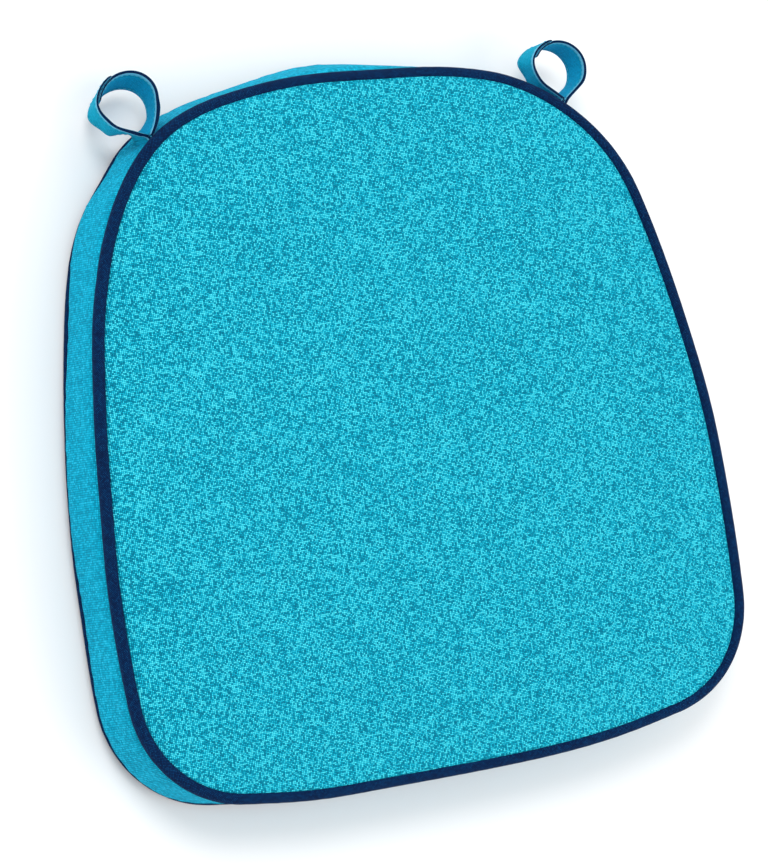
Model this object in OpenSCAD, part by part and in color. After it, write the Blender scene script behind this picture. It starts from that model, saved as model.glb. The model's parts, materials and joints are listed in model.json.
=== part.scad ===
// Chair seat pad: a foam pad in a boxed woven cover with piped seams, a zip in the
// underside and a touch-and-close loop at each rear corner that grips a chair post.
// +Z is up, +Y is the rear. The origin is the middle of the underside.

/* [Outline of the piped seams] */
// Radius of the rear edge
rear_r = 444; // [300:1:900]
// Turn of half the rear edge, in degrees
rear_turn = 11.2; // [6:0.1:16]
// Radius of the rear corners
rear_corner_r = 114; // [80:1:140]
// Turn of each rear corner, in degrees
rear_corner_turn = 63.3; // [50:0.1:70]
// Radius of the side edges
side_r = 741; // [500:1:1200]
// Turn of each side edge, in degrees
side_turn = 18.9; // [12:0.1:22]
// Radius of the front corners
front_corner_r = 64; // [40:1:90]
// Turn of each front corner, in degrees
front_corner_turn = 79.8; // [70:0.1:81]

/* [Body] */
// Height from the lower seam to the upper seam
seam_height = 42; // [36:1:60]
// Rise of the top panel above the upper seam
crown = 8; // [4:0.5:12]
// How far the gussets stand proud of the seam
wall_out = 2; // [1:0.1:3]
// Thickness of the woven cover cloth
cloth_t = 0.8; // [0.6:0.1:1]
// Width of the seam allowance inside the cover
allowance = 10; // [6:0.5:12]

/* [Piping] */
// Outer radius of the covered piping
piping_r = 3.5; // [3:0.1:4]
// Radius of the cord inside the piping
cord_r = 2.6; // [2:0.1:2.8]

/* [Post loops] */
// Inner radius of each closed loop, which is the post's radius
post_r = 15.6; // [12:0.1:16]
// Thickness of a folded fabric tab
tab_t = 2; // [1:0.1:2.2]
// Width of a tab, which is the loop's height
tab_w = 20; // [14:1:24]
// Distance from the seam to the middle of the left loop
left_reach = 22; // [21:0.5:30]
// Distance from the seam to the middle of the right loop
right_reach = 21; // [20:0.5:30]
// Thickness of each touch-and-close patch
patch_t = 0.7; // [0.5:0.1:0.9]
// Place of the left loop around its corner, in degrees from the rear
left_place = 34.5; // [25:0.5:45]
// Place of the right loop around its corner, in degrees from the rear
right_place = 40; // [25:0.5:45]
// Direction that the left loop points, in degrees from the rear, to the left
left_lean = 16; // [10:1:40]
// Direction that the right loop points, in degrees from the rear, to the left
right_lean = -1; // [-40:1:0]

/* [Zip] */
// Distance of the zip behind the middle of the pad
zip_y = 100; // [70:1:120]
// Length of the slider's travel
zip_travel = 270; // [200:1:280]
// Width of each zip tape
tape_w = 13; // [11:0.5:14]

/* [Hidden] */
$fn = 96;

teal = [0.13, 0.68, 0.79];
gusset_teal = [0.06, 0.62, 0.76];
navy = [0.04, 0.20, 0.37];
white = [0.93, 0.93, 0.91];
cream = [0.93, 0.89, 0.74];
grey = [0.62, 0.63, 0.65];

// The outline is a chain of arcs down the right side. Headings count the turn from the
// rear centre, and a point's outward direction is [sin(heading), cos(heading)].
turns = [0, rear_turn, rear_turn + rear_corner_turn, rear_turn + rear_corner_turn + side_turn,
    rear_turn + rear_corner_turn + side_turn + front_corner_turn, 180];
function step_to(from, r, a, b) =
    [from[0] + r * (sin(b) - sin(a)), from[1] + r * (cos(b) - cos(a))];
c1 = step_to([0, 0], rear_r, turns[0], turns[1]);
c2 = step_to(c1, rear_corner_r, turns[1], turns[2]);
c3 = step_to(c2, side_r, turns[2], turns[3]);
c4 = step_to(c3, front_corner_r, turns[3], turns[4]);
front_r = c4[0] / sin(turns[4]);
c5 = step_to(c4, front_r, turns[4], turns[5]);
rear_y = -c5[1] / 2;
starts = [[0, 0], c1, c2, c3, c4];
radii = [rear_r, rear_corner_r, side_r, front_corner_r, front_r];
function centre_of(i) =
    [starts[i][0] - radii[i] * sin(turns[i]), rear_y + starts[i][1] - radii[i] * cos(turns[i])];
centres = [for (i = [0:4]) centre_of(i)];

// How far a chord may miss its arc
chord_miss = 0.12;
function arc_points(i, inset) =
    let (r = radii[i] - inset, sweep = turns[i + 1] - turns[i])
    let (count = ceil(sweep / (2 * acos(1 - chord_miss / r))))
    [for (k = [0:count - 1]) let (h = turns[i] + sweep * k / count)
        centres[i] + r * [sin(h), cos(h)]];
function right_half(inset) = [for (i = [0:4]) for (p = arc_points(i, inset)) p];
function reversed(list) = [for (i = [len(list) - 1:-1:1]) list[i]];
function outline(inset) =
    let (right = right_half(inset))
    concat(right, [[0, inset - rear_y]], [for (p = reversed(right)) [-p[0], p[1]]]);

// Levels of the upper and lower seams and of the cloth layers that meet there
low_z = piping_r;
high_z = low_z + seam_height;
mid_z = (low_z + high_z) / 2;
flange_t = 2 * (piping_r - cord_r - 0.1);
edge_in = piping_r + 0.2;
allow_in = edge_in + allowance;
gap = 0.3;

// Height of the cover's top panel above its edge, as the fraction s of its size shrinks
crown_z = high_z + flange_t / 2;
module dome(inset, rise, base, first) {
    hull() {
        translate([0, 0, base]) linear_extrude(0.01) polygon(outline(inset));
        for (k = [first:5])
            translate([0, 0, crown_z + rise * sin(15 * k)])
                linear_extrude(0.01) scale(cos(15 * k)) polygon(outline(inset));
    }
}

// A profile drawn as [outward, up] is swept round the whole outline as one closed ring
sweep_miss = 0.25;
function stations(i) =
    let (sweep = turns[i + 1] - turns[i])
    let (count = ceil(sweep / (2 * acos(1 - sweep_miss / radii[i]))))
    [for (k = [0:count - 1]) let (h = turns[i] + sweep * k / count)
        [centres[i][0] + radii[i] * sin(h), centres[i][1] + radii[i] * cos(h), h]];
right_stations = [for (i = [0:4]) each stations(i)];
all_stations = concat(right_stations, [[0, -rear_y, 180]],
    [for (s = reversed(right_stations)) [-s[0], s[1], -s[2]]]);
function ring_point(s, p) = [s[0] + p[0] * sin(s[2]), s[1] + p[0] * cos(s[2]), p[1]];
module sweep_ring(profile) {
    n = len(profile);
    m = len(all_stations);
    points = [for (s = all_stations) for (p = profile) ring_point(s, p)];
    faces = [for (j = [0:m - 1]) for (i = [0:n - 1])
        let (a = j * n + i, b = j * n + (i + 1) % n)
        let (c = ((j + 1) % m) * n + (i + 1) % n, d = ((j + 1) % m) * n + i)
        each [[a, b, c], [a, c, d]]];
    polyhedron(points = points, faces = faces, convexity = 6);
}

// A level band of cloth between two distances outward of the outline
module ring_band(low, high, inner, outer) {
    translate([0, 0, low]) linear_extrude(high - low) difference() {
        polygon(outline(-outer));
        polygon(outline(-inner));
    }
}

// The point at a heading on the right or left rear corner, its distance outward given
module at_corner(side, place) {
    mirror([side < 0 ? 1 : 0, 0, 0]) translate(centres[1]) rotate(90 - place)
        translate([rear_corner_r, 0, 0]) children();
}

// Foam and wadding
lip_low = high_z - flange_t / 2 - cloth_t;
shelf_top = high_z - piping_r - 0.2;
shelf_low = shelf_top - cloth_t;
foam_top = lip_low - 0.1;
groove_half = tape_w + 4;
groove_top = 10;
module corner_notch(side, place) {
    at_corner(side, place) translate([-allow_in, -4, low_z + 1])
        cube([allow_in + 4, 8, seam_height]);
}
module foam_layer(low, high, inset) {
    translate([0, 0, low]) linear_extrude(high - low) polygon(outline(inset));
}
module foam_core() {
    color(cream) difference() {
        union() {
            foam_layer(cloth_t + 0.1, mid_z, allow_in + 0.6);
            foam_layer(2 * mid_z - foam_top, foam_top, edge_in + cloth_t + 0.3);
            foam_layer(2 * mid_z - shelf_low + 0.1, shelf_low - 0.1, cloth_t + gap - wall_out);
        }
        translate([-300, zip_y - groove_half, -1]) cube([600, 2 * groove_half, groove_top + 1]);
        corner_notch(1, right_place);
        corner_notch(-1, left_place);
    }
}
module wadding() {
    color(white) dome(allow_in + 0.4, crown - 1.8, foam_top, 2);
}

// Cover
module top_panel() {
    color(teal) {
        difference() {
            dome(edge_in, crown - flange_t / 2, crown_z, 1);
            dome(edge_in + cloth_t, crown - flange_t / 2 - cloth_t, crown_z - 1, 1);
        }
        translate([0, 0, crown_z]) linear_extrude(cloth_t) difference() {
            polygon(outline(edge_in));
            polygon(outline(allow_in));
        }
    }
}

// A gusset is a wall between the pipings. Above and below, it turns in past the piping
// to a lip in the seam.
module gusset_ring() {
    ring_band(2 * mid_z - shelf_top, shelf_top, wall_out - cloth_t, wall_out);
    for (flip = [0, 1])
        translate([0, 0, flip * 2 * mid_z]) mirror([0, 0, flip]) {
            ring_band(shelf_low, shelf_top, -edge_in - cloth_t, wall_out);
            ring_band(shelf_low, lip_low + cloth_t, -edge_in - cloth_t, -edge_in);
            ring_band(lip_low, lip_low + cloth_t, -allow_in, -edge_in);
        }
}
// Half the gap in the gussets that the tabs' sewn ends pass through, as a turn
slot_half = tab_t + 0.2;
slot_turn = slot_half / rear_corner_r * 180 / PI;
module rear_sector(turn) {
    right = right_place + turn;
    left = left_place + turn;
    far = 400;
    c = centres[1];
    linear_extrude(100) polygon([c, c + far * [sin(right), cos(right)],
        [-c[0] - far * sin(left), c[1] + far * cos(left)], [-c[0], c[1]]]);
}
// The gusset's end, turned in beside the tabs and sunk a little into the wall and shelves
sunk = 0.4;
module gusset_flap(side, place, toward) {
    flap_top = shelf_low + sunk;
    at_corner(side, place)
        translate([-allowance, toward * (slot_half + sunk + cloth_t / 2) - cloth_t / 2,
            2 * mid_z - flap_top])
            cube([allowance + wall_out - sunk, cloth_t, 2 * (flap_top - mid_z)]);
}
module front_gusset() {
    color(gusset_teal) {
        difference() {
            gusset_ring();
            rear_sector(slot_turn);
        }
        gusset_flap(1, right_place, -1);
        gusset_flap(-1, left_place, -1);
    }
}
module rear_gusset() {
    color(gusset_teal) {
        intersection() {
            gusset_ring();
            rear_sector(-slot_turn);
        }
        gusset_flap(1, right_place, 1);
        gusset_flap(-1, left_place, 1);
    }
}

// Piping: a strip folded round the cord, with both its edges lying in the seam
function circle_points(r, from, to, count) =
    [for (k = [0:count]) let (a = from + (to - from) * k / count) [r * cos(a), r * sin(a)]];
function raised(points, z) = [for (p = points) [p[0], p[1] + z]];
slit = 0.05;
sleeve_r = cord_r + 0.1;
function strip_profile() =
    let (turn_out = asin(flange_t / 2 / piping_r), turn_in = asin(slit / sleeve_r))
    concat([[-allow_in, -slit], [-allow_in, -flange_t / 2]],
        circle_points(piping_r, turn_out - 180, 180 - turn_out, 10),
        [[-allow_in, flange_t / 2], [-allow_in, slit]],
        circle_points(sleeve_r, 180 - turn_in, turn_in - 180, 8));
module piping_cover(z) {
    color(navy) sweep_ring(raised(strip_profile(), z));
}
module piping_cord(z) {
    color(white) sweep_ring(raised(circle_points(cord_r, 0, 315, 7), z));
}
module upper_piping_cover() {
    piping_cover(high_z);
}
module lower_piping_cover() {
    piping_cover(low_z);
}
module upper_piping_cord() {
    piping_cord(high_z);
}
module lower_piping_cord() {
    piping_cord(low_z);
}

// Underside: a front and a rear panel, each hemmed where it meets the zip
tape_z = 6;
tape_t = 0.6;
coil_t = 1.6;
hem_in = 5.6;
hem_out = 10;
valley_half = 16;
end_in = allow_in + 0.5;
module tray() {
    difference() {
        linear_extrude(low_z - flange_t / 2) polygon(outline(edge_in));
        translate([0, 0, cloth_t]) linear_extrude(low_z) polygon(outline(edge_in + cloth_t));
    }
}
module strip(side, from, to) {
    translate([-300, zip_y, -1]) mirror([0, side < 0 ? 1 : 0, 0])
        translate([0, from, 0]) cube([600, to - from, 20]);
}
module hem_profile() {
    low = tape_z - 2 * cloth_t;
    polygon([[valley_half + 0.01, 0], [valley_half + 0.01, cloth_t], [valley_half - 0.6, cloth_t],
        [hem_out + 1.4, tape_z - cloth_t], [hem_out + 0.6, tape_z], [hem_in, tape_z],
        [hem_in, low], [hem_out, low], [valley_half, 0]]);
}
module bottom_panel(side) {
    color(teal) {
        intersection() {
            tray();
            strip(side, valley_half, 400);
        }
        intersection() {
            difference() {
                tray();
                translate([0, 0, -1]) linear_extrude(20) polygon(outline(end_in));
            }
            strip(side, 0.4, valley_half + 0.01);
        }
        intersection() {
            linear_extrude(20) polygon(outline(end_in));
            translate([-300, zip_y, 0]) mirror([0, side < 0 ? 1 : 0, 0])
                rotate([90, 0, 90]) linear_extrude(600) hem_profile();
        }
    }
}
module bottom_panel_front() {
    bottom_panel(-1);
}
module bottom_panel_rear() {
    bottom_panel(1);
}

// Zip
coil_in = 0.8;
coil_out = 2.4;
coil_half = zip_travel / 2 + 6;
module zip_tape(side) {
    color(gusset_teal) intersection() {
        translate([0, 0, tape_z]) linear_extrude(tape_t) polygon(outline(5.2));
        strip(side, 1.4, 1.4 + tape_w);
    }
}
module zip_tape_front() {
    zip_tape(-1);
}
module zip_tape_rear() {
    zip_tape(1);
}
module zip_coil(side) {
    color(navy) translate([0, zip_y, tape_z - coil_t]) mirror([0, side < 0 ? 1 : 0, 0])
        translate([-coil_half, coil_in, 0]) cube([2 * coil_half, coil_out - coil_in, coil_t]);
}
module zip_coil_front() {
    zip_coil(-1);
}
module zip_coil_rear() {
    zip_coil(1);
}
stop_l = 3;
module zip_stop(side) {
    color(grey) translate([side * (coil_half + 0.1), zip_y, tape_z - 2])
        mirror([side < 0 ? 1 : 0, 0, 0]) difference() {
            translate([0, -2.8, 0]) cube([stop_l, 5.6, 3.4]);
            translate([-1, 1.2, 1.9]) cube([stop_l + 2, 2, 0.9]);
            translate([-1, -3.2, 1.9]) cube([stop_l + 2, 2, 0.9]);
        }
}
module zip_stop_left() {
    zip_stop(-1);
}
module zip_stop_right() {
    zip_stop(1);
}

slider_x = -zip_travel / 2;
slider_l = 9;
slider_w = 8.4;
plate_t = 1;
plate_top = tape_z + tape_t + gap;
plate_low = tape_z - coil_t - gap;
pivot_z = plate_low - plate_t - 0.9;
pivot_r = 0.6;
module slider_plate(z) {
    translate([0, 0, z]) linear_extrude(plate_t) {
        translate([-slider_l / 2, -slider_w / 2 + 1]) square([slider_l - 3, slider_w - 2]);
        translate([-slider_l / 2 + 1, -slider_w / 2]) square([slider_l - 5, slider_w]);
        for (side = [-1, 1]) {
            translate([-slider_l / 2 + 1, side * (slider_w / 2 - 1)]) circle(1, $fn = 24);
            translate([slider_l / 2 - 3.4, side * (slider_w / 2 - 1.6)]) circle(1.6, $fn = 32);
        }
        translate([slider_l / 2 - 3, -slider_w / 2 + 1.6]) square([3, slider_w - 3.2]);
    }
}
module zip_slider() {
    color(grey) translate([slider_x, zip_y, 0]) {
        slider_plate(plate_top);
        slider_plate(plate_low - plate_t);
        translate([slider_l / 2 - 4, -0.5, plate_low - 0.2])
            cube([3.4, 1, plate_top - plate_low + 0.4]);
        for (side = [-1, 1])
            translate([-2.5, side * (slider_w / 2 - 0.4) - 0.4, plate_low - 0.2])
                cube([4.5, 0.8, 1.6]);
        for (x = [-2.4, 1.8])
            translate([x, -0.7, pivot_z - 1.3]) cube([0.6, 1.4, 2.5]);
        translate([-2.4, -0.7, pivot_z - 1.7]) cube([4.8, 1.4, 0.8]);
    }
}
pull_l = 20;
module zip_pull() {
    color(grey) translate([slider_x, zip_y, pivot_z]) {
        translate([0, 2.4, 0]) rotate([90, 0, 0]) cylinder(h = 4.8, r = pivot_r, $fn = 32);
        translate([0, 0, -pivot_r]) linear_extrude(2 * pivot_r) difference() {
            union() {
                translate([0, -2.4]) square([5.4, 4.8]);
                translate([5.2, -2]) square([pull_l - 7.7, 4]);
                translate([pull_l - 2.5, 0]) circle(2.5, $fn = 40);
            }
            translate([-1, -1.1]) square([5.2, 2.2]);
            translate([pull_l - 2.5, 0]) circle(1.1, $fn = 32);
        }
    }
}

// Post loops. In a loop's own frame the pivots are at the origin and +Y points at the post.
hinge_out = wall_out + 2.8;
tab_z = high_z - piping_r - 1 - tab_w;
pivot_half = tab_t / 2 + 0.2;
mid_r = post_r + tab_t / 2;
lap_from = 95;
lap_to = 150;
lap_r = post_r + tab_t + 2 * patch_t + gap;
function pivot_reach(reach) = sqrt(pivot_half * pivot_half + reach * reach);
function neck_l(reach) = sqrt(pow(pivot_reach(reach), 2) - mid_r * mid_r);
function neck_turn(reach) = atan2(pivot_half, reach) - asin(mid_r / pivot_reach(reach));
module at_loop(side, place, lean) {
    x = side * (centres[1][0] + (rear_corner_r + hinge_out) * sin(place));
    y = centres[1][1] + (rear_corner_r + hinge_out) * cos(place);
    translate([x, y, tab_z]) rotate(lean) children();
}
module band(reach, r, t, from, to, inset) {
    translate([0, reach, inset]) rotate(from)
        rotate_extrude(angle = to - from) translate([r, 0]) square([t, tab_w - 2 * inset]);
}
function loop_arc(reach, r, from, to, count) =
    [for (p = circle_points(r, from, to, count)) [p[0], p[1] + reach]];
module outer_tab(reach) {
    step_from = lap_to + 4;
    step_to = step_from + 5;
    root = 180 - neck_turn(reach);
    heel = [for (a = [root, root - 180]) [tab_t / 2 * cos(a) - pivot_half, tab_t / 2 * sin(a)]];
    translate([-pivot_half, 0, 0]) cylinder(h = tab_w, r = tab_t / 2, $fn = 32);
    linear_extrude(tab_w) polygon(concat(
        loop_arc(reach, post_r, root, step_from, 14),
        loop_arc(reach, lap_r, step_from, lap_from, 12),
        loop_arc(reach, lap_r + tab_t, lap_from, step_to, 12),
        loop_arc(reach, post_r + tab_t, step_to, root, 14), heel));
}
module inner_tab(reach) {
    heel = [for (a = [90:22.5:270]) [tab_t / 2 * cos(a), tab_t / 2 * sin(a)]];
    tip = [for (side = [-1, 1]) [neck_l(reach) + 1.5, side * (tab_t / 2 - 0.1)]];
    translate([pivot_half, 0, 0]) rotate(90 + neck_turn(reach))
        linear_extrude(tab_w) polygon(concat(heel, tip));
    band(reach, post_r, tab_t, neck_turn(reach), lap_to, 0);
}
module hook_patch(reach) {
    band(reach, lap_r - patch_t, patch_t - 0.1, lap_from + 2, lap_to - 2, 1.5);
}
module loop_patch(reach) {
    band(reach, post_r + tab_t, patch_t, lap_from + 2, lap_to - 2, 1.5);
}
module tab_root(side, place) {
    at_corner(side, place) translate([-allowance, -tab_t, tab_z])
        cube([allowance + wall_out + 0.8, 2 * tab_t, tab_w]);
}
module left_tab_root() {
    color(teal) tab_root(-1, left_place);
}
module right_tab_root() {
    color(teal) tab_root(1, right_place);
}
module left_outer_tab() {
    color(teal) at_loop(-1, left_place, left_lean) outer_tab(left_reach);
}
module left_inner_tab() {
    color(teal) at_loop(-1, left_place, left_lean) inner_tab(left_reach);
}
module left_hook_patch() {
    color(navy) at_loop(-1, left_place, left_lean) hook_patch(left_reach);
}
module left_loop_patch() {
    color(navy) at_loop(-1, left_place, left_lean) loop_patch(left_reach);
}
module right_outer_tab() {
    color(teal) at_loop(1, right_place, right_lean) outer_tab(right_reach);
}
module right_inner_tab() {
    color(teal) at_loop(1, right_place, right_lean) inner_tab(right_reach);
}
module right_hook_patch() {
    color(navy) at_loop(1, right_place, right_lean) hook_patch(right_reach);
}
module right_loop_patch() {
    color(navy) at_loop(1, right_place, right_lean) loop_patch(right_reach);
}

foam_core();
wadding();
top_panel();
front_gusset();
rear_gusset();
upper_piping_cover();
upper_piping_cord();
lower_piping_cover();
lower_piping_cord();
bottom_panel_front();
bottom_panel_rear();
zip_tape_front();
zip_tape_rear();
zip_coil_front();
zip_coil_rear();
zip_stop_left();
zip_stop_right();
zip_slider();
zip_pull();
left_tab_root();
right_tab_root();
left_outer_tab();
left_inner_tab();
left_hook_patch();
left_loop_patch();
right_outer_tab();
right_inner_tab();
right_hook_patch();
right_loop_patch();
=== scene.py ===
"""Chair seat pad: a woven boxed cover over foam, piped seams, two post loops and a zip below."""
import json
import math

import bpy
import numpy as np
from mathutils import Matrix, Vector


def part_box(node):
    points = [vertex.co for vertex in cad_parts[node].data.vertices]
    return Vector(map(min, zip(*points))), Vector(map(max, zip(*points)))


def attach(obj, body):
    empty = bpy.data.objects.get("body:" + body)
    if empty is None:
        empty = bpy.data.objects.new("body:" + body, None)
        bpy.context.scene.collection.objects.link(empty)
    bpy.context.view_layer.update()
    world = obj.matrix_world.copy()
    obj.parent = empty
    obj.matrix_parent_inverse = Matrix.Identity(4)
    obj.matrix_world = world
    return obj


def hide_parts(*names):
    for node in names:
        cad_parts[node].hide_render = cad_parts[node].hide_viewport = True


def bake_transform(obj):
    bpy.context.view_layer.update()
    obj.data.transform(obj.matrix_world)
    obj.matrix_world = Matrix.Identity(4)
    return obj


MM = 0.001
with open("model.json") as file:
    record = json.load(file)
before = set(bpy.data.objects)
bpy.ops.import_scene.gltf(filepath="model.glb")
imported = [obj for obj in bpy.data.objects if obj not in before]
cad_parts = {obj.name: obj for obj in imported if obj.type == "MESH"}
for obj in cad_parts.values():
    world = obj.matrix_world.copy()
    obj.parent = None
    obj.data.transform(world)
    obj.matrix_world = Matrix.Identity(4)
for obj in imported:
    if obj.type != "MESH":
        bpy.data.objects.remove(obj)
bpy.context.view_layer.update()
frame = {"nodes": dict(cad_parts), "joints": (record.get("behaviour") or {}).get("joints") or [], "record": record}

# ---------------------------------------------------------------- driving sizes
ARC_RADII = [0.444, 0.114, 0.741, 0.064]
ARC_TURNS = [math.radians(turn) for turn in (11.2, 63.3, 18.9, 79.8)]
PIPING_R = 3.5 * MM
CORD_R = 2.6 * MM
LOW_Z = PIPING_R
HIGH_Z = LOW_Z + 42 * MM
CLOTH_T = 0.8 * MM
ZIP_Y = 100 * MM
LEFT_PLACE = math.radians(-34.5)
RIGHT_PLACE = math.radians(40)
COLUMNS = 336


# ---------------------------------------------------------------- outline of the seams
def outward(heading):
    """The direction that a seam faces at a heading, which is 0 at the rear."""
    return np.array([math.sin(heading), math.cos(heading)])


def outline_arcs():
    """[centre, radius, first heading, last heading] of the arcs down the right side."""
    arcs = []
    point = np.zeros(2)
    heading = 0.0
    for radius, turn in zip(ARC_RADII, ARC_TURNS):
        centre = point - radius * outward(heading)
        arcs.append([centre, radius, heading, heading + turn])
        heading += turn
        point = centre + radius * outward(heading)
    radius = point[0] / math.sin(heading)
    centre = point - radius * outward(heading)
    arcs.append([centre, radius, heading, math.pi])
    middle = (centre[1] - radius) / 2
    for arc in arcs:
        arc[0] = arc[0] - np.array([0.0, middle])
    return arcs


ARCS = outline_arcs()
HALF_LENGTH = sum(arc[1] * (arc[3] - arc[2]) for arc in ARCS)


# (length clockwise from the rear centre, half width, outward shift) of the hand-sewn unevenness
UNEVEN = [(15, 45, -3.2), (125, 65, -3.8), (345, 40, 1.0), (540, 28, -1.2), (610, 60, 1.7),
          (-590, 40, 1.8), (-345, 35, -1.0), (-245, 30, 1.4), (-190, 25, -0.9), (-130, 25, 1.4)]


# The same for the lower seam, on top of the above
LOWER_UNEVEN = [(-405, 35, -1.2), (-300, 30, -0.9), (-250, 32, -1.9), (-157, 20, -2.2)]


def unevenness(length, bumps=UNEVEN):
    """How far the sewn outline strays outward from the pattern."""
    whole = 2 * HALF_LENGTH
    total = 0.0
    for centre, half, shift in bumps:
        gap = (length - centre * MM + HALF_LENGTH) % whole - HALF_LENGTH
        total += shift * MM * math.exp(-(gap / (half * MM)) ** 2)
    return total


def outline_at(length):
    """Point and heading at a length along the outline, clockwise from the rear centre."""
    shift = unevenness(length)
    length = length % (2 * HALF_LENGTH)
    side = 1 if length <= HALF_LENGTH else -1
    left = length if side > 0 else 2 * HALF_LENGTH - length
    for centre, radius, first, last in ARCS:
        reach = radius * (last - first)
        if left <= reach + 1e-9:
            break
        left -= reach
    heading = first + left / radius
    point = centre + (radius + shift) * outward(heading)
    return np.array([side * point[0], point[1]]), side * heading


def length_at(heading):
    """Length along the outline at a heading. Headings to the left are negative."""
    total = sum(arc[1] * (min(max(abs(heading), arc[2]), arc[3]) - arc[2]) for arc in ARCS)
    return total if heading >= 0 else 2 * HALF_LENGTH - total


def stations(count, lower=False):
    """Points, outward directions and lengths at even steps round the upper or lower seam."""
    lengths = np.arange(count) * 2 * HALF_LENGTH / count
    samples = [outline_at(length) for length in lengths]
    points = np.array([point for point, heading in samples])
    outs = np.array([outward(heading) for point, heading in samples])
    if lower:
        stray = np.array([unevenness(length, LOWER_UNEVEN) for length in lengths])
        points = points + stray[:, None] * outs
    return points, outs, lengths


def length_gap(lengths, place):
    """Signed distance round the outline from a place."""
    whole = 2 * HALF_LENGTH
    return (lengths - length_at(place) + HALF_LENGTH) % whole - HALF_LENGTH


# ---------------------------------------------------------------- mesh helpers
def add_mesh(name, points, faces, uvs=None, smooth=True):
    """A mesh object. uvs holds one (u, v) in metres for each corner of each face."""
    mesh = bpy.data.meshes.new(name)
    mesh.from_pydata([tuple(p) for p in points], [], [tuple(f) for f in faces])
    if uvs is not None:
        layer = mesh.uv_layers.new(name="Cloth")
        layer.data.foreach_set("uv", np.asarray(uvs, dtype=np.float32).ravel())
    mesh.polygons.foreach_set("use_smooth", [smooth] * len(mesh.polygons))
    mesh.update()
    piece = bpy.data.objects.new(name, mesh)
    bpy.context.scene.collection.objects.link(piece)
    return piece


def grid_faces(rows, columns, wrap_columns, wrap_rows=False):
    """Quads of a rows x columns grid, and each corner's unwrapped row and column."""
    faces = []
    cells = []
    for r in range(rows if wrap_rows else rows - 1):
        for c in range(columns if wrap_columns else columns - 1):
            corners = [(r, c), (r, c + 1), (r + 1, c + 1), (r + 1, c)]
            faces.append([(i % rows) * columns + j % columns for i, j in corners])
            cells.append(corners)
    return faces, cells


def sweep(name, path, sides, ups, profile, closed_path, run=None, caps=True):
    """Sweeps a closed profile of (side, up) along a path, with UVs in metres."""
    path = np.asarray(path)
    count = len(path)
    size = len(profile)
    profile = np.asarray(profile)
    points = (path[:, None, :] + profile[None, :, 0, None] * np.asarray(sides)[:, None, :]
              + profile[None, :, 1, None] * np.asarray(ups)[:, None, :]).reshape(-1, 3)
    faces, cells = grid_faces(count, size, True, closed_path)
    if run is None:
        steps = np.linalg.norm(np.diff(path, axis=0, append=path[:1]), axis=1)
        run = np.concatenate([[0.0], np.cumsum(steps)])
    girth_steps = np.linalg.norm(np.diff(profile, axis=0, append=profile[:1]), axis=1)
    girth = np.concatenate([[0.0], np.cumsum(girth_steps)])
    uvs = [(run[r], girth[c]) for cell in cells for r, c in cell]
    if caps and not closed_path:
        first = list(range(size))
        last = [(count - 1) * size + i for i in range(size)]
        faces += [first[::-1], last]
        uvs += [tuple(profile[i]) for i in first[::-1]] + [tuple(profile[i]) for i in first]
    return add_mesh(name, points, faces, uvs)


def join(name, pieces):
    """Joins pieces into one object."""
    bpy.ops.object.select_all(action="DESELECT")
    for piece in pieces:
        piece.select_set(True)
    bpy.context.view_layer.objects.active = pieces[0]
    bpy.ops.object.join()
    pieces[0].name = name
    return pieces[0]


def place(piece, body, slot, material, *nodes, bend=None):
    """Gives a piece its material and its CAD body, and hides the CAD nodes it stands for. The slot argument is not
    used.
    If bend is given, the piece is baked where it stands instead of being attached to its body; the points that
    bend holds are not otherwise used."""
    piece.data.materials.clear()
    piece.data.materials.append(material)
    if nodes:
        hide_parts(*nodes)
    if bend:
        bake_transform(piece)
    else:
        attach(piece, body)
    return piece


def shell(piece, thickness=CLOTH_T):
    """Gives an open cloth mesh its thickness, inward."""
    modifier = piece.modifiers.new("thickness", "SOLIDIFY")
    modifier.thickness = thickness
    modifier.offset = -1
    return piece


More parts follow.
